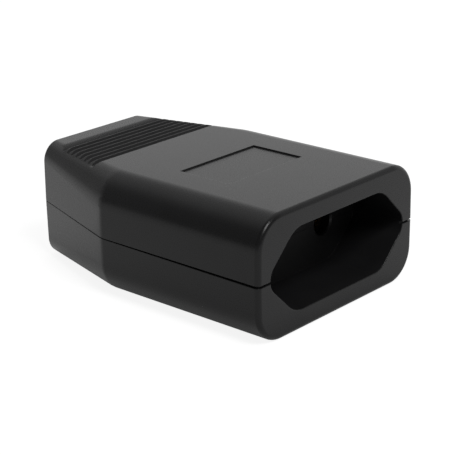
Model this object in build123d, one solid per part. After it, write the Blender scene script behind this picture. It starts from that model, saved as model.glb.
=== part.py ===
from build123d import *
import os
from math import radians, sin, tan

# A two-pole inline power socket for the end of a cord: two moulded half shells
# that meet at a seam, with a six-sided recess for a flat two-pin plug.
# X runs across the two contacts, Y along the cord with the mouth at -Y, Z up.
# The origin is the middle of the underside, and every size is in millimetres.

# Body, measured at the seam, where both shells are widest
body_length = 60.0
body_width = 43.4
rear_width = 27.6
straight_length = 36.4  # from the mouth to where the sides start to narrow
kink_ease = 0.5  # the sides turn there over this length on each side
upper_height = 11.15
lower_height = 11.25
draft = 0.8  # degrees, away from the seam
wall = 2.2
front_corner_radius = 6.0  # long edges, up to where the sides start to narrow
rear_corner_radius = 3.5  # long edges at the rear end
corner_patches = 4  # each long edge is rounded in this many
front_corner_bevel = 2.2  # long edges of the hollow inside, as above
rear_corner_bevel = 0.8
front_edge_radius = 0.9
rear_edge_bevel = 0.8

# Mouth, the recess that takes the plug's body
mouth_width = 37.1  # across the rounded tips
mouth_height = 15.0
mouth_depth = 11.1
mouth_side_angle = 44.1  # degrees, sloping walls against the seam
mouth_corner_radius = 5.1
mouth_tip_radius = 3.1
mouth_rim_bevel = 0.1
floor_thickness = 2.4  # between the recess and the inside

# Pins of the plug, and the holes that let them through the recess floor
pin_pitch = 19.0
pin_diameter = 4.0
pin_length = 19.0
pin_hole_room = 0.3  # radial
pin_hole_lead = 0.3
pin_hole_lead_angle = 45.0  # degrees

# Contacts
pin_clearance = 0.05  # radial
pin_tip_room = 0.6
sleeve_wall = 0.8
sleeve_slot_width = 0.7
sleeve_slot_length = 12.0
terminal_width = 7.0
terminal_length = 9.0
terminal_web = 1.4  # left between the pin's bore and the wire's
terminal_edge = 0.6
wire_bore_diameter = 3.0

# Screws
terminal_thread = 3.0
terminal_screw_length = 3.4
terminal_head_diameter = 5.0
terminal_head_height = 1.8
terminal_head_lift = 0.8  # backed off, with no wire under it
housing_thread = 3.0
housing_screw_length = 14.0
housing_head_diameter = 5.6
housing_head_height = 2.2
clamp_thread = 2.9
clamp_screw_length = 8.0
clamp_head_diameter = 5.2
clamp_head_height = 1.8
slot_width = 0.8
slot_depth = 0.9

# Inside of the shells
rib_thickness = 1.6
front_rib_gap = 4.0  # from the recess floor to the first rib
barrier_gap = 4.5  # from the barrier between the terminals to the cord clamp
seat_inset = 1.0  # terminal seat, inside the block's outline
head_room = 0.3  # radial, round the housing screw's head
head_recess = 0.8  # the head's depth below the underside
passage_room = 0.2  # radial, round the housing screw's shank
boss_wall = 1.0
tongue_thickness = 0.9
tongue_height = 1.0

# Cord entry and cord clamp
cord_hole_diameter = 7.2
clamp_from_rear = 10.5  # middle of the clamp, from the rear face
clamp_screw_pitch = 14.8
clamp_width = 5.6
clamp_thickness = 3.0
clamp_arch_height = 1.6
clamp_boss_diameter = 5.6
clamp_boss_rise = 0.8  # above the seam
clamp_corner_radius = 2.0
saddle_drop = 2.6  # top of the saddle, below the seam

# Grip grooves and label pocket
groove_count = 8
groove_pitch = 1.53
groove_width = 1.3
groove_floor = 0.4
groove_depth = 0.6
grip_from_rear = 17.3  # front edge of the band, from the rear face
grip_ramp = 1.8  # the last groove curves out to the rear over this
label_width = 20.0
label_length = 11.4
label_depth = 0.25
label_from_mouth = 16.4  # front edge of the pocket, from the mouth

# Seam line
seam_relief_depth = 0.6
seam_gap_front = 0.45
seam_gap_middle = 0.18  # where the sides start to narrow
seam_gap_rear = 0.12

# Fits
clearance = 0.05
slip = 0.1

# Places worked out from the sizes above
front_y = -body_length / 2
rear_y = body_length / 2
taper_y = front_y + straight_length
seam_z = lower_height
floor_y = front_y + mouth_depth
inside_y = floor_y + floor_thickness
sleeve_y = inside_y + slip
bore_radius = pin_diameter / 2 + pin_clearance
sleeve_radius = bore_radius + sleeve_wall
terminal_y = floor_y + pin_length + pin_tip_room
terminal_end_y = terminal_y + terminal_length
wire_bore_y = terminal_y + terminal_web
wire_middle_y = (wire_bore_y + terminal_end_y) / 2
front_rib_y = inside_y + front_rib_gap
rear_rib_y = terminal_y - slip - rib_thickness
boss_y = (front_rib_y + rib_thickness + rear_rib_y) / 2
counterbore_radius = housing_head_diameter / 2 + head_room
counterbore_depth = housing_head_height + head_recess
clamp_y = rear_y - clamp_from_rear
clamp_length = clamp_screw_pitch + clamp_boss_diameter
grip_y = rear_y - grip_from_rear
right_angle = 90.0
past = 1.0  # how far a cutter runs past the surface that it opens
left_and_right = (-1, 1)


def plan(inset):
    """The body's outline at the seam, seen from above, moved in from its sides."""
    front, rear = body_width / 2 - inset, rear_width / 2 - inset
    narrowing = (front - rear) / (rear_y - taper_y)
    end_y = rear_y - inset
    end = front - narrowing * (end_y - taper_y)
    right_side = [(front, front_y + inset), (front, taper_y), (end, end_y)]
    left_side = [(-x, y) for x, y in reversed(right_side)]
    return make_face(Polyline(*right_side, *left_side, close=True))


def upright(y):
    """The plane across the body at y, with its own Y along Z."""
    return Plane(origin=(0, y, 0), x_dir=(1, 0, 0), z_dir=(0, -1, 0))


def outer_section(y, width, height, radius):
    """Half of the body's cross-section with rounded corners, standing on the seam at Z = 0."""
    foot = width / 2
    turn = right_angle - draft
    shoulder = foot - height * tan(radians(draft))
    middle = (shoulder - radius * tan(radians(turn / 2)), height - radius)
    step = turn / corner_patches
    arcs = [CenterArc(middle, radius, draft + k * step, step) for k in range(corner_patches)]
    right = [Line((foot, 0), arcs[0] @ 0), *arcs]
    left = [mirror(edge, Plane.YZ) for edge in right]
    across = [Line((-foot, 0), (foot, 0)), Line(left[-1] @ 1, right[-1] @ 1)]
    return upright(y) * make_face(right + left + across)


def hollow_section(y, width, height, bevel):
    """The hollow in that section, with bevelled corners."""
    foot = width / 2
    shoulder = foot - height * tan(radians(draft))
    right = [(foot, 0), (shoulder, height - bevel), (shoulder - bevel, height)]
    left = [(-x, z) for x, z in reversed(right)]
    return upright(y) * make_face(Polyline(*right, *left, close=True))


def body_form(start_y, *sections):
    """A half body: straight from start_y to the first section, then from each to the next."""
    straight = sections[0].center().Y - start_y
    return extrude(sections[0], straight) + loft(sections, ruled=True)


def slab(x_size, y_from, y_to, z_from, z_to, x_middle=0.0):
    """A box between the given limits, as wide as x_size about x_middle."""
    middle = (x_middle, (y_from + y_to) / 2, (z_from + z_to) / 2)
    return Pos(*middle) * Box(x_size, y_to - y_from, z_to - z_from)


def bar_along_y(radius, x, y_from, y_to, z):
    """A round bar along Y."""
    start = Plane(origin=(x, y_from, z), x_dir=(1, 0, 0), z_dir=(0, 1, 0))
    return extrude(start * Circle(radius), y_to - y_from)


def post(radius, x, y, z_from, z_to):
    """A round post along Z."""
    return extrude(Pos(x, y, z_from) * Circle(radius), z_to - z_from)


def off_seam(edge):
    """Whether an edge of a half body stands clear of the seam plane."""
    return edge.center().Z > clearance


def outer_half(height):
    """One half of the body as a full solid, standing on the seam at Z = 0."""
    eased = kink_ease / (rear_y - taper_y)
    eased_width = body_width + eased * (rear_width - body_width)
    eased_radius = front_corner_radius + eased * (rear_corner_radius - front_corner_radius)
    straight = outer_section(taper_y - kink_ease, body_width, height, front_corner_radius)
    turned = outer_section(taper_y + kink_ease, eased_width, height, eased_radius)
    rear = outer_section(rear_y, rear_width, height, rear_corner_radius)
    body = body_form(front_y, straight, turned, rear)
    front_face = body.faces().sort_by(Axis.Y)[0]
    body = fillet(front_face.edges().filter_by(off_seam), front_edge_radius)
    rear_face = body.faces().sort_by(Axis.Y)[-1]
    return chamfer(rear_face.edges().filter_by(off_seam), rear_edge_bevel)


def mouth_profile():
    """The six-sided outline of the recess, with rounded corners and tips."""
    slope = radians(mouth_side_angle)
    half_height = mouth_height / 2
    tip = mouth_width / 2 + mouth_tip_radius * (1 / sin(slope) - 1)
    flat = tip - half_height / tan(slope)
    upper = [(tip, 0), (flat, half_height), (-flat, half_height)]
    lower = [(-x, -y) for x, y in upper]
    outline = make_face(Polyline(*upper, *lower, close=True))
    corners = outline.vertices().filter_by(lambda corner: abs(corner.Y) > half_height / 2)
    outline = fillet(corners, mouth_corner_radius)
    by_width = outline.vertices().sort_by(Axis.X)
    return fillet([by_width[0], by_width[-1]], mouth_tip_radius)


def mouth_cut():
    """The space of the recess, through the mouth and down to its floor."""
    opening = Plane(origin=(0, front_y - past, 0), x_dir=(1, 0, 0), z_dir=(0, 1, 0))
    return extrude(opening * mouth_profile(), mouth_depth + past)


def with_mouth(body):
    """A half body with its half of the recess, bevelled along the rim."""
    body -= mouth_cut()
    front = body.faces().sort_by(Axis.Y)[0]
    rim = front.edges().filter_by(lambda edge: off_seam(edge) and is_rim(edge.center()))
    return chamfer(rim, mouth_rim_bevel)


def is_rim(point):
    """Whether a point of the front face is on the mouth, not on the outer edge."""
    return abs(point.X) < mouth_width / 2 + clearance and point.Z < mouth_height / 2 + clearance


def pin_hole(x):
    """A pin's way through the recess floor, with a lead-in from the mouth."""
    radius = pin_diameter / 2 + pin_hole_room
    hole = bar_along_y(radius, x, floor_y - past, sleeve_y, 0)
    lead_start = Plane(origin=(x, floor_y, 0), x_dir=(1, 0, 0), z_dir=(0, 1, 0))
    lead_circle = lead_start * Circle(radius + pin_hole_lead)
    return hole + extrude(lead_circle, pin_hole_lead, taper=pin_hole_lead_angle)


def core_half(height):
    """The hollow inside one half, left round by ribs, the barrier and the boss."""
    kink = hollow_section(taper_y, body_width - 2 * wall, height - wall, front_corner_bevel)
    rear = hollow_section(rear_y, rear_width - 2 * wall, height - wall, rear_corner_bevel)
    hollow = body_form(inside_y, kink, rear)
    hollow -= slab(body_width, rear_y - wall, rear_y + past, -past, height)
    for rib_y in (front_rib_y, rear_rib_y):
        hollow -= slab(body_width, rib_y, rib_y + rib_thickness, -past, height)
    barrier_y = (rear_rib_y, clamp_y - clamp_width / 2 - barrier_gap)
    hollow -= slab(rib_thickness, *barrier_y, -past, height)
    return hollow - post(counterbore_radius + boss_wall, 0, boss_y, -past, height)


def contact_channel(x):
    """The groove that a contact's sleeve lies in, through the ribs."""
    return bar_along_y(sleeve_radius + clearance, x, inside_y, terminal_y, 0)


def grip_grooves(height):
    """The comb that cuts the grip across one half. Its last groove curves out to the rear."""
    flank = (groove_width - groove_floor) / 2
    floor_end = (flank + groove_floor, -groove_depth)
    front_wall = [(0, past), (0, 0), (flank, -groove_depth), floor_end]
    rear_wall = [(groove_width, 0), (groove_width, past)]
    groove = make_face(Polyline(*front_wall, *rear_wall, close=True))
    run_out = (floor_end[0] + grip_ramp, 0)
    curve = TangentArc(run_out, floor_end, tangent=(-1, 0))
    back = Polyline(run_out, (run_out[0], past), front_wall[0])
    last = make_face([Polyline(*front_wall), curve, back])
    side = Plane(origin=(-body_width / 2, grip_y, height), x_dir=(0, 1, 0), z_dir=(1, 0, 0))
    outlines = [groove] * (groove_count - 1) + [last]
    places = [side * Pos(number * groove_pitch, 0) for number in range(groove_count)]
    return [extrude(place * outline, body_width) for place, outline in zip(places, outlines)]


def half_shell(height):
    """What both shells share, standing on the seam at Z = 0."""
    shell = with_mouth(outer_half(height)) - core_half(height)
    for side in left_and_right:
        shell -= pin_hole(side * pin_pitch / 2)
        shell -= contact_channel(side * pin_pitch / 2)
    shell -= bar_along_y(cord_hole_diameter / 2, 0, rear_y - wall - past, rear_y + past, 0)
    return shell - grip_grooves(height)


def tongue(grow):
    """The lip round the lower shell's inside, or with grow the groove for it."""
    outer = plan(wall - tongue_thickness - grow)
    ring = extrude(outer - plan(wall + grow), tongue_height + grow)
    ring -= slab(body_width, front_y, inside_y + rib_thickness - grow, -past, tongue_height + past)
    return ring - bar_along_y(cord_hole_diameter / 2, 0, clamp_y, rear_y, 0)


def seam_relief():
    """The thin gap along the outside of the seam, widest at the mouth."""
    gaps = [(rear_y, -seam_gap_rear), (taper_y, -seam_gap_middle), (front_y, -seam_gap_front)]
    profile = [(front_y, 0), (rear_y, 0), *gaps]
    side = Plane(origin=(-body_width / 2, 0, 0), x_dir=(0, 1, 0), z_dir=(1, 0, 0))
    wedge = extrude(side * make_face(Polyline(*profile, close=True)), body_width)
    return wedge - extrude(plan(seam_relief_depth), -past)


def make_upper_shell():
    shell = half_shell(upper_height)
    shell -= tongue(slip)
    screw_reach = housing_screw_length - (lower_height - counterbore_depth)
    shell -= post(housing_thread / 2 + clearance, 0, boss_y, -past, screw_reach + clearance)
    label_y = front_y + label_from_mouth
    label_z = (upper_height - label_depth, upper_height + past)
    shell -= slab(label_width, label_y, label_y + label_length, *label_z)
    return Pos(0, 0, seam_z) * shell


def make_lower_shell():
    half_turn = Rot(0, 180, 0)
    shell = half_turn * half_shell(lower_height) - seam_relief() + tongue(0)
    under_z = -lower_height - past
    shell -= post(housing_thread / 2 + passage_room, 0, boss_y, under_z, past)
    shell -= post(counterbore_radius, 0, boss_y, under_z, counterbore_depth - lower_height)
    inner_floor = wall - lower_height
    saddle_y = (clamp_y - rib_thickness / 2, clamp_y + rib_thickness / 2)
    shell += slab(clamp_screw_pitch, *saddle_y, inner_floor, -saddle_drop)
    seat_width = terminal_width - 2 * seat_inset
    seat_y = (terminal_y + seat_inset, terminal_end_y - seat_inset)
    seat_z = (inner_floor, -terminal_width / 2 - clearance)
    thread_end = clamp_boss_rise + clamp_thickness - clamp_screw_length
    thread_z = (thread_end - clearance, clamp_boss_rise + past)
    for side in left_and_right:
        shell += slab(seat_width, *seat_y, *seat_z, side * pin_pitch / 2)
        boss_x = side * clamp_screw_pitch / 2
        shell += post(clamp_boss_diameter / 2, boss_x, clamp_y, inner_floor, clamp_boss_rise)
        shell -= post(clamp_thread / 2 + clearance, boss_x, clamp_y, *thread_z)
    return Pos(0, 0, seam_z) * shell


def make_contact(x):
    """A turned and milled brass sleeve with its terminal block."""
    sleeve = bar_along_y(sleeve_radius, x, sleeve_y, terminal_y, seam_z)
    under_z = seam_z - terminal_width / 2
    over_z = seam_z + terminal_width / 2
    block = slab(terminal_width, terminal_y, terminal_end_y, under_z, over_z, x)
    block = chamfer(block.edges().filter_by(Axis.Y), terminal_edge)
    contact = sleeve + block
    start_y = sleeve_y - past
    contact -= bar_along_y(bore_radius, x, start_y, terminal_y, seam_z)
    contact -= slab(sleeve_slot_width, start_y, sleeve_y + sleeve_slot_length, under_z, over_z, x)
    contact -= bar_along_y(wire_bore_diameter / 2, x, wire_bore_y, terminal_end_y + past, seam_z)
    return contact - post(terminal_thread / 2 + clearance, x, wire_middle_y, seam_z, over_z + past)


def slotted_screw(thread, length, head_diameter, head_height):
    """A screw pointing down, with the underside of its head at Z = 0."""
    shank = post(thread / 2, 0, 0, -length, 0)
    head = post(head_diameter / 2, 0, 0, 0, head_height)
    slot = slab(slot_width, -head_diameter, head_diameter, head_height - slot_depth, head_height + past)
    return shank + head - slot


def make_terminal_screws():
    head = (terminal_head_diameter, terminal_head_height)
    screw = slotted_screw(terminal_thread, terminal_screw_length, *head)
    head_z = seam_z + terminal_width / 2 + terminal_head_lift
    return [Pos(side * pin_pitch / 2, wire_middle_y, head_z) * screw for side in left_and_right]


def make_cord_clamp():
    """The bar over the cord, arched underneath and seated on two bosses."""
    under = seam_z + clamp_boss_rise
    half_width = clamp_width / 2
    bar = slab(clamp_length, clamp_y - half_width, clamp_y + half_width, under, under + clamp_thickness)
    bar = fillet(bar.edges().filter_by(Axis.Z), clamp_corner_radius)
    arch_width = clamp_screw_pitch - clamp_boss_diameter
    arch_radius = (arch_width**2 / 4 + clamp_arch_height**2) / (2 * clamp_arch_height)
    arch_z = under + clamp_arch_height - arch_radius
    bar -= bar_along_y(arch_radius, 0, clamp_y - clamp_width, clamp_y + clamp_width, arch_z)
    for side in left_and_right:
        hole_x = side * clamp_screw_pitch / 2
        bar -= post(clamp_thread / 2 + slip, hole_x, clamp_y, under - past, under + clamp_thickness + past)
    return bar


def make_cord_clamp_screws():
    head = (clamp_head_diameter, clamp_head_height)
    screw = slotted_screw(clamp_thread, clamp_screw_length, *head)
    head_z = seam_z + clamp_boss_rise + clamp_thickness
    return [Pos(side * clamp_screw_pitch / 2, clamp_y, head_z) * screw for side in left_and_right]


def make_housing_screw():
    head = (housing_head_diameter, housing_head_height)
    screw = slotted_screw(housing_thread, housing_screw_length, *head)
    return Pos(0, boss_y, counterbore_depth) * Rot(0, 180, 0) * screw


def main():
    pieces = {
        "upper_shell": make_upper_shell(),
        "lower_shell": make_lower_shell(),
        "contact_left": make_contact(-pin_pitch / 2),
        "contact_right": make_contact(pin_pitch / 2),
        "terminal_screws": Compound(make_terminal_screws()),
        "cord_clamp": make_cord_clamp(),
        "cord_clamp_screws": Compound(make_cord_clamp_screws()),
        "housing_screw": make_housing_screw(),
    }
    os.makedirs("parts", exist_ok=True)
    for name, piece in pieces.items():
        export_step(piece, f"parts/{name}.step")
        print(name, "solids", len(piece.solids()), "volume", round(piece.volume, 1))


main()
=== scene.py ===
import bpy
import math
from mathutils import Matrix, Vector


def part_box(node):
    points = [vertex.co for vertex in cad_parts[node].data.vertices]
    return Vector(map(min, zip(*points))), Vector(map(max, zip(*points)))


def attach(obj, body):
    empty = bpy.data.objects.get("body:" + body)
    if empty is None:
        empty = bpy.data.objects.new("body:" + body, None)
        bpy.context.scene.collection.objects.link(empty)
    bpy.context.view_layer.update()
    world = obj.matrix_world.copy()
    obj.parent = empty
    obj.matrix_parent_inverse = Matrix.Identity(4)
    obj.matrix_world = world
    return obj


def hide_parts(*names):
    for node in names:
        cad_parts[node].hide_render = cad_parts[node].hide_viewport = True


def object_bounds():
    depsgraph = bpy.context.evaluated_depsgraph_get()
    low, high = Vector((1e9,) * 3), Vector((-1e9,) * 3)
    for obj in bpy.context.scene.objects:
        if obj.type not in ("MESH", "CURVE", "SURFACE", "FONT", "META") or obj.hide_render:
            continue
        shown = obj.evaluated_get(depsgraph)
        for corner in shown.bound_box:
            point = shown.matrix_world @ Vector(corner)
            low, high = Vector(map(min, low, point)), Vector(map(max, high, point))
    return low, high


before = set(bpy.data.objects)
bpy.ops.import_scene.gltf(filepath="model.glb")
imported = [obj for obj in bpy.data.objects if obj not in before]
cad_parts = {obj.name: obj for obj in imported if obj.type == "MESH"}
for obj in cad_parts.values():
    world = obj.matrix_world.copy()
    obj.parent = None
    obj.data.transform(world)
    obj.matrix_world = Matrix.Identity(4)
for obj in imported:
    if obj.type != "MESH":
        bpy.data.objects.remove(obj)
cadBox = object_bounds()
mm = 0.001
print("frame loaded:", sorted(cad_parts))


def deselectAll():
    if bpy.context.object and bpy.context.object.mode != "OBJECT":
        bpy.ops.object.mode_set(mode="OBJECT")
    bpy.ops.object.select_all(action="DESELECT")


def pick(piece):
    deselectAll()
    piece.select_set(True)
    bpy.context.view_layer.objects.active = piece


def applyModifier(piece, modifier):
    pick(piece)
    bpy.ops.object.modifier_apply(modifier=modifier.name)


def wear(piece, *materials):
    piece.data.materials.clear()
    for material in materials:
        piece.data.materials.append(material)


def newMaterial(name):
    material = bpy.data.materials.new(name)
    material.use_nodes = True
    nodes, links = material.node_tree.nodes, material.node_tree.links
    nodes.clear()
    output = nodes.new("ShaderNodeOutputMaterial")
    shader = nodes.new("ShaderNodeBsdfPrincipled")
    links.new(shader.outputs["BSDF"], output.inputs["Surface"])
    return material, nodes, links, shader


noiseRange = (0.3, 0.7)     # nearly all of a noise lies between these


def noiseOn(nodes, links, place, settings):
    noise = nodes.new("ShaderNodeTexNoise")
    for socket, value in settings.items():
        noise.inputs[socket].default_value = value
    links.new(place.outputs["Object"], noise.inputs["Vector"])
    return noise.outputs["Fac"]


def spread(nodes, links, source, low, high, across=noiseRange):
    ramp = nodes.new("ShaderNodeMapRange")
    ramp.inputs["From Min"].default_value, ramp.inputs["From Max"].default_value = across
    ramp.inputs["To Min"].default_value = low
    ramp.inputs["To Max"].default_value = high
    links.new(source, ramp.inputs["Value"])
    return ramp


def tint(nodes, links, source, dark, light):
    ramp = nodes.new("ShaderNodeValToRGB")
    for stop, position, colour in zip(ramp.color_ramp.elements, noiseRange, (dark, light)):
        stop.position = position
        stop.color = (*colour, 1)
    links.new(source, ramp.inputs["Fac"])
    return ramp.outputs["Color"]


def mathNode(nodes, links, operation, first, second):
    node = nodes.new("ShaderNodeMath")
    node.operation = operation
    links.new(first, node.inputs[0])
    links.new(second, node.inputs[1])
    return node.outputs["Value"]


def bumpNode(nodes, links, height, strength, depth):
    bump = nodes.new("ShaderNodeBump")
    bump.inputs["Strength"].default_value = strength
    bump.inputs["Distance"].default_value = depth
    links.new(height, bump.inputs["Height"])
    return bump


# black moulded plastic with a fine spark-eroded texture
plastic = {
    "dark": (0.0068, 0.0068, 0.0071),
    "light": (0.0092, 0.0092, 0.0096),
    "cloud": {"Scale": 160, "Detail": 3, "Roughness": 0.5},     # the mould's flow, scale in 1/m
    "grain": {"Scale": 4200, "Detail": 3, "Roughness": 0.6},    # about a quarter of a millimetre
    "pits": {"Scale": 11000, "Detail": 1, "Roughness": 0.5},
    "roughLow": 0.25,
    "roughHigh": 0.32,
    "specular": 0.2,
    "bumpStrength": 0.10,
    "bumpDepth": 0.03 * mm,
    "edgeRound": 0.16 * mm,
    "edgeSamples": 6,
}

# the plug recess: left matt by the core that forms it, and given a darker base colour as painted
# shade
recess = {
    # the darker base colours here are painted shade, not the plastic's own tone
    "look": {"dark": (0.0050, 0.0050, 0.0053), "light": (0.0070, 0.0070, 0.0074),
             "roughLow": 0.52, "roughHigh": 0.62, "specular": 0.17},
    "low": (-18.7, -29.4, 3.6),     # box that holds its walls and floor, in mm
    "high": (18.7, -18.8, 18.8),
}

# the grip: more matt than the smooth sides, apart from the ramp behind it
grip = {
    "look": {"roughLow": 0.44, "roughHigh": 0.54},
    "low": 12.7, "high": 24.2,      # along the body, in mm
    "deep": 0.62,                   # below the top and above the underside
}


def mouldedPlastic(name, look):
    material, nodes, links, shader = newMaterial(name)
    place = nodes.new("ShaderNodeTexCoord")
    cloud = noiseOn(nodes, links, place, look["cloud"])
    grain = noiseOn(nodes, links, place, look["grain"])
    pits = noiseOn(nodes, links, place, look["pits"])
    tone = tint(nodes, links, cloud, look["dark"], look["light"])
    links.new(tone, shader.inputs["Base Color"])
    rough = spread(nodes, links, grain, look["roughLow"], look["roughHigh"])
    links.new(rough.outputs["Result"], shader.inputs["Roughness"])
    shader.inputs["Specular IOR Level"].default_value = look["specular"]
    rounded = nodes.new("ShaderNodeBevel")
    rounded.samples = look["edgeSamples"]
    rounded.inputs["Radius"].default_value = look["edgeRound"]
    relief = mathNode(nodes, links, "ADD", grain, pits)
    bump = bumpNode(nodes, links, relief, look["bumpStrength"], look["bumpDepth"])
    links.new(rounded.outputs["Normal"], bump.inputs["Normal"])
    links.new(bump.outputs["Normal"], shader.inputs["Normal"])
    return material


housingPlastic = mouldedPlastic("housingPlastic", plastic)
# the recess's plastic: rougher and less glossy, with a darker base colour as painted shade
recessShadedPlastic = mouldedPlastic("recessShadedPlastic", {**plastic, **recess["look"]})
gripPlastic = mouldedPlastic("gripPlastic", {**plastic, **grip["look"]})

# brass of the contacts, drawn and turned
brass = {
    "dark": (0.52, 0.36, 0.13),
    "light": (0.66, 0.48, 0.20),
    "grain": {"Scale": 900, "Detail": 4, "Roughness": 0.6},
    "roughLow": 0.22,
    "roughHigh": 0.38,
    "bumpStrength": 0.15,
    "bumpDepth": 0.02 * mm,
}

# zinc-plated steel of the screws
steel = {
    "dark": (0.46, 0.46, 0.47),
    "light": (0.60, 0.60, 0.60),
    "grain": {"Scale": 1400, "Detail": 4, "Roughness": 0.6},
    "roughLow": 0.24,
    "roughHigh": 0.40,
    "bumpStrength": 0.15,
    "bumpDepth": 0.02 * mm,
}


def turnedMetal(name, look):
    material, nodes, links, shader = newMaterial(name)
    place = nodes.new("ShaderNodeTexCoord")
    grain = noiseOn(nodes, links, place, look["grain"])
    tone = tint(nodes, links, grain, look["dark"], look["light"])
    links.new(tone, shader.inputs["Base Color"])
    rough = spread(nodes, links, grain, look["roughLow"], look["roughHigh"])
    links.new(rough.outputs["Result"], shader.inputs["Roughness"])
    shader.inputs["Metallic"].default_value = 1.0
    bump = bumpNode(nodes, links, grain, look["bumpStrength"], look["bumpDepth"])
    links.new(bump.outputs["Normal"], shader.inputs["Normal"])
    return material


contactBrass = turnedMetal("contactBrass", brass)
screwSteel = turnedMetal("screwSteel", steel)
print("materials made")

# the moulded halves, contacts and clamp bar keep the solids' shape, with smooth fillets
smoothing = {"mergeGap": 0.002 * mm, "sharpAngle": 32}
shellPieces = {"upper_shell": "upperHalf", "lower_shell": "lowerHalf"}


def smoothShade(piece):
    pick(piece)
    bpy.ops.object.shade_smooth_by_angle(angle=math.radians(smoothing["sharpAngle"]))


def smoothCopy(node, name, slot, *materials):
    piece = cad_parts[node].copy()
    piece.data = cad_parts[node].data.copy()
    piece.name = name
    piece.data.name = name
    piece.parent = None
    for key in [k for k in piece.keys() if k.startswith("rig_")]:
        del piece[key]
    bpy.context.scene.collection.objects.link(piece)
    pick(piece)
    bpy.ops.object.mode_set(mode="EDIT")
    bpy.ops.mesh.select_all(action="SELECT")
    bpy.ops.mesh.remove_doubles(threshold=smoothing["mergeGap"])
    bpy.ops.object.mode_set(mode="OBJECT")
    if piece.data.has_custom_normals:
        bpy.ops.mesh.customdata_custom_splitnormals_clear()
    smoothShade(piece)
    even = piece.modifiers.new("evenNormals", "WEIGHTED_NORMAL")
    even.keep_sharp = True
    applyModifier(piece, even)
    wear(piece, *materials)
    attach(piece, "root")
    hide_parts(node)
    return piece


def inRecess(centre):
    return all(low * mm < c < high * mm
               for low, c, high in zip(recess["low"], centre, recess["high"]))


def onGrip(centre):
    below = min(centre.z - cadBox[0][2], cadBox[1][2] - centre.z)
    return grip["low"] * mm < centre.y < grip["high"] * mm and below < grip["deep"] * mm


def shellLook(centre):
    if inRecess(centre):
        return recessShadedPlastic
    return gripPlastic if onGrip(centre) else housingPlastic


shellLooks = [housingPlastic, recessShadedPlastic, gripPlastic]
for node, name in shellPieces.items():
    half = smoothCopy(node, name, "housing", *shellLooks)
    for face in half.data.polygons:
        face.material_index = shellLooks.index(shellLook(face.center))
smoothCopy("cord_clamp", "cordClampBar", "clamp", housingPlastic)
for side in ("left", "right"):
    smoothCopy("contact_" + side, side + "Contact", "contacts", contactBrass)
print("shells, contacts and clamp bar dressed")

# slotted cheese-head screws with a rolled thread, in the places of the plain ones, in mm
screwLooks = {
    "terminal_screws": {"name": "terminalScrews", "thread": 3.0, "pitch": 0.5,
                        "head": 5.0, "headTall": 1.8},
    "cord_clamp_screws": {"name": "clampScrews", "thread": 2.9, "pitch": 1.1,
                          "head": 5.2, "headTall": 1.8},
    "housing_screw": {"name": "housingScrew", "thread": 3.0, "pitch": 1.2,
                      "head": 5.6, "headTall": 2.2, "upward": True},
}
screwForm = {
    "sides": 28, "ringsPerPitch": 8,
    "threadDepth": 0.3,         # as a share of the thread's radius
    "tipLength": 0.9, "tipShare": 0.72,
    "intoHead": 0.3,            # how far the shank runs into the head
    "headSides": 56,
    "slotWide": 0.8, "slotDeep": 0.9,
    "slotOver": 1.0,            # how far the slot's cutter stands above the head
    "edge": 0.22, "edgeSteps": 3, "edgeAngle": 50,
}


def combine(piece, tool, operation):
    cut = piece.modifiers.new("combine", "BOOLEAN")
    cut.operation = operation
    cut.solver = "EXACT"
    cut.object = tool
    applyModifier(piece, cut)
    bpy.data.objects.remove(tool)


def newCylinder(sides, radius, depth, middle):
    deselectAll()
    bpy.ops.mesh.primitive_cylinder_add(vertices=sides, radius=radius * mm, depth=depth * mm,
                                        location=(0, 0, middle * mm))
    bpy.ops.object.transform_apply(location=True)
    return bpy.context.object


def cutIntoRings(shank, full, rings):
    # only the edges along the shank are cut
    bpy.ops.object.mode_set(mode="EDIT")
    bpy.ops.mesh.select_mode(type="EDGE")
    bpy.ops.mesh.select_all(action="DESELECT")
    bpy.ops.object.mode_set(mode="OBJECT")
    points = shank.data.vertices
    for edge in shank.data.edges:
        low, high = (points[k].co.z for k in edge.vertices)
        edge.select = abs(high - low) > full * mm / 2
    bpy.ops.object.mode_set(mode="EDIT")
    bpy.ops.mesh.subdivide(number_cuts=rings)
    bpy.ops.object.mode_set(mode="OBJECT")


def clamp(share):
    return min(max(share, 0), 1)


def threadedShank(look, length):
    # a cylinder cut into rings, each point moved in or out along the helix
    pitch = look["pitch"]
    full = length + screwForm["intoHead"]
    shank = newCylinder(screwForm["sides"], look["thread"] / 2, full,
                        screwForm["intoHead"] - full / 2)
    cutIntoRings(shank, full, int(full / pitch * screwForm["ringsPerPitch"]))
    for point in shank.data.vertices:
        below = -point.co.z / mm                # distance under the head
        turn = math.atan2(point.co.y, point.co.x) / (2 * math.pi)
        wave = (1 - math.cos(2 * math.pi * (below / pitch + turn))) / 2
        runOut = clamp((below - pitch / 2) / pitch)
        tip = clamp((length - below) / screwForm["tipLength"])
        share = 1 - screwForm["threadDepth"] * (1 - runOut * (1 - wave))
        share *= screwForm["tipShare"] + (1 - screwForm["tipShare"]) * tip
        point.co.x *= share
        point.co.y *= share
    return shank


def slottedHead(look):
    head = newCylinder(screwForm["headSides"], look["head"] / 2, look["headTall"],
                       look["headTall"] / 2)
    deselectAll()
    slotMiddle = look["headTall"] + (screwForm["slotOver"] - screwForm["slotDeep"]) / 2
    bpy.ops.mesh.primitive_cube_add(size=1, location=(0, 0, slotMiddle * mm))
    slot = bpy.context.object
    slot.dimensions = (screwForm["slotWide"] * mm, look["head"] * 2 * mm,
                       (screwForm["slotDeep"] + screwForm["slotOver"]) * mm)
    bpy.ops.object.transform_apply(location=True, scale=True)
    combine(head, slot, "DIFFERENCE")
    rim = head.modifiers.new("rim", "BEVEL")
    rim.width = screwForm["edge"] * mm
    rim.segments = screwForm["edgeSteps"]
    rim.limit_method = "ANGLE"
    rim.angle_limit = math.radians(screwForm["edgeAngle"])
    applyModifier(head, rim)
    return head


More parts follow.
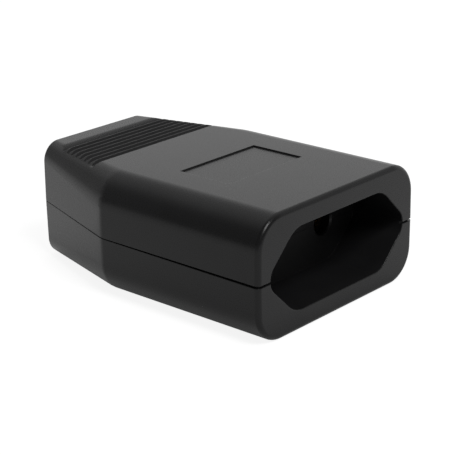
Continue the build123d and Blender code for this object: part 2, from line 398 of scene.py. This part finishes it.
def dressScrews(node, look):
    low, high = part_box(node)
    length = (high.z - low.z) / mm - look["headTall"]
    screw = slottedHead(look)
    combine(screw, threadedShank(look, length), "UNION")
    headTall = look["headTall"] * mm
    radius = look["head"] / 2 * mm
    y = (low.y + high.y) / 2
    if look.get("upward"):
        upsideDown = Matrix.Rotation(math.pi, 4, "Y")
        screw.data.transform(Matrix.Translation((0, y, low.z + headTall)) @ upsideDown)
    else:
        other = screw.copy()
        other.data = screw.data.copy()
        bpy.context.scene.collection.objects.link(other)
        screw.data.transform(Matrix.Translation((low.x + radius, y, high.z - headTall)))
        other.data.transform(Matrix.Translation((high.x - radius, y, high.z - headTall)))
        pick(screw)
        other.select_set(True)
        bpy.ops.object.join()
    screw.name = look["name"]
    screw.data.name = look["name"]
    smoothShade(screw)
    wear(screw, screwSteel)
    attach(screw, "root")
    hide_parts(node)


for node, look in screwLooks.items():
    dressScrews(node, look)
print("screws cut and threaded")

# white sweep: seen as white by the camera and in gloss, and still taking the shadow
floorLook = {
    "halfSize": 3.0,
    "drop": 0.02 * mm,          # keeps it clear of the underside
    "grey": 0.2, "roughness": 0.9,
    "glow": 0.88, "inGloss": 0.94,
    "shadeReach": 22 * mm,
}


def litRays(nodes, links, shade):
    # gloss sees the floor darker close to the object, where little light gets in
    path = nodes.new("ShaderNodeLightPath")
    mirrored = mathNode(nodes, links, "MAXIMUM", path.outputs["Is Glossy Ray"],
                        path.outputs["Is Transmission Ray"])
    shaded = mathNode(nodes, links, "MULTIPLY", mirrored, shade)
    return mathNode(nodes, links, "MAXIMUM", path.outputs["Is Camera Ray"], shaded)


def whiteFloor(name, look):
    material, nodes, links, shader = newMaterial(name)
    shader.inputs["Base Color"].default_value = (look["grey"],) * 3 + (1,)
    shader.inputs["Roughness"].default_value = look["roughness"]
    shader.inputs["Specular IOR Level"].default_value = 0.0
    shader.inputs["Emission Color"].default_value = (1, 1, 1, 1)
    shade = nodes.new("ShaderNodeAmbientOcclusion")
    shade.inputs["Color"].default_value = (look["inGloss"],) * 3 + (1,)
    shade.inputs["Distance"].default_value = look["shadeReach"]
    glow = nodes.new("ShaderNodeMath")
    glow.operation = "MULTIPLY"
    glow.inputs[1].default_value = look["glow"]
    links.new(litRays(nodes, links, shade.outputs["Color"]), glow.inputs[0])
    links.new(glow.outputs["Value"], shader.inputs["Emission Strength"])
    return material


deselectAll()
bpy.ops.mesh.primitive_plane_add(size=2 * floorLook["halfSize"],
                                 location=(0, 0, -floorLook["drop"]))
studioFloor = bpy.context.object
studioFloor.name = "studioFloor"
wear(studioFloor, whiteFloor("studioWhite", floorLook))

# light tent: a white backdrop low down, dim overhead, on the open side and in one gap
tent = {
    "byHeight": ((0.35, 0.98), (0.58, 0.62), (0.68, 0.62), (0.80, 0.90)),   # up to a roof panel
    "faces": (0.75, 0.66, 0.0),     # full light towards here
    "openSide": 0.2,                # and this share of it on the other side
    "openAcross": (-0.2, 0.45),
    "gap": (-0.20, 0.92, 0.30),     # behind on the left
    "gapLevel": 0.55,
    "gapAcross": (0.90, 0.985),
}


def byHeight(nodes, links, direction, levels):
    height = nodes.new("ShaderNodeSeparateXYZ")
    links.new(direction, height.inputs["Vector"])
    fade = nodes.new("ShaderNodeValToRGB")
    fade.color_ramp.interpolation = "EASE"
    stops = fade.color_ramp.elements
    for z, level in levels:
        stops.new(z).color = (level, level, level, 1)
    stops.remove(stops[-1])     # the two that a new ramp starts with
    stops.remove(stops[0])
    links.new(height.outputs["Z"], fade.inputs["Fac"])
    return fade.outputs["Color"]


def byFacing(nodes, links, direction, faces, low, high, across):
    facing = nodes.new("ShaderNodeVectorMath")
    facing.operation = "DOT_PRODUCT"
    facing.inputs[1].default_value = faces
    links.new(direction, facing.inputs[0])
    level = spread(nodes, links, facing.outputs["Value"], low, high, across)
    level.interpolation_type = "SMOOTHSTEP"
    return level.outputs["Result"]


world = bpy.data.worlds.new("lightTent")
world.use_nodes = True
bpy.context.scene.world = world
nodes, links = world.node_tree.nodes, world.node_tree.links
nodes.clear()
worldOutput = nodes.new("ShaderNodeOutputWorld")
sky = nodes.new("ShaderNodeBackground")
links.new(sky.outputs["Background"], worldOutput.inputs["Surface"])
sky.inputs["Color"].default_value = (1, 1, 1, 1)
direction = nodes.new("ShaderNodeTexCoord").outputs["Generated"]
backdrop = byHeight(nodes, links, direction, tent["byHeight"])
openSide = byFacing(nodes, links, direction, tent["faces"],
                    tent["openSide"], 1.0, tent["openAcross"])
gap = byFacing(nodes, links, direction, Vector(tent["gap"]).normalized(),
               1.0, tent["gapLevel"], tent["gapAcross"])
tentLight = mathNode(nodes, links, "MULTIPLY", backdrop, openSide)
tentLight = mathNode(nodes, links, "MULTIPLY", tentLight, gap)
path = nodes.new("ShaderNodeLightPath")
seen = mathNode(nodes, links, "MAXIMUM", path.outputs["Is Camera Ray"], tentLight)
links.new(seen, sky.inputs["Strength"])

# one softbox, high on the open side
softbox = {"direction": (-0.17, -0.60, 0.78), "distance": 0.8, "size": 0.28, "power": 3.9}

lamp = bpy.data.lights.new("softbox", "AREA")
lamp.shape = "SQUARE"
lamp.size = softbox["size"]
lamp.energy = softbox["power"]
lampStand = bpy.data.objects.new("softbox", lamp)
bpy.context.scene.collection.objects.link(lampStand)
towards = Vector(softbox["direction"]).normalized()
lampStand.location = towards * softbox["distance"]
lampStand.rotation_euler = towards.to_track_quat("Z", "Y").to_euler()
print("floor and light tent ready")

# camera at the photograph's angle, place in mm and angles in degrees
view = {
    "place": (-189.18, -172.49, 102.15),
    "azimuth": -48.355, "elevation": 20.109, "roll": -0.858,
    "lens": 116.66, "sensor": 36.0,
    "clipStart": 0.01, "clipEnd": 20,       # in metres
}

camera = bpy.data.cameras.new("productCamera")
camera.lens = view["lens"]
camera.sensor_width = view["sensor"]
camera.sensor_fit = "HORIZONTAL"
camera.clip_start = view["clipStart"]
camera.clip_end = view["clipEnd"]
productCamera = bpy.data.objects.new("productCamera", camera)
bpy.context.scene.collection.objects.link(productCamera)
turn = Matrix.Rotation(math.radians(view["azimuth"]), 4, "Z")
tilt = Matrix.Rotation(math.radians(90 - view["elevation"]), 4, "X")
roll = Matrix.Rotation(math.radians(view["roll"]), 4, "Z")
productCamera.matrix_world = Matrix.Translation(Vector(view["place"]) * mm) @ turn @ tilt @ roll
bpy.context.scene.camera = productCamera
bpy.context.scene.view_settings.view_transform = "Standard"
print("camera set")
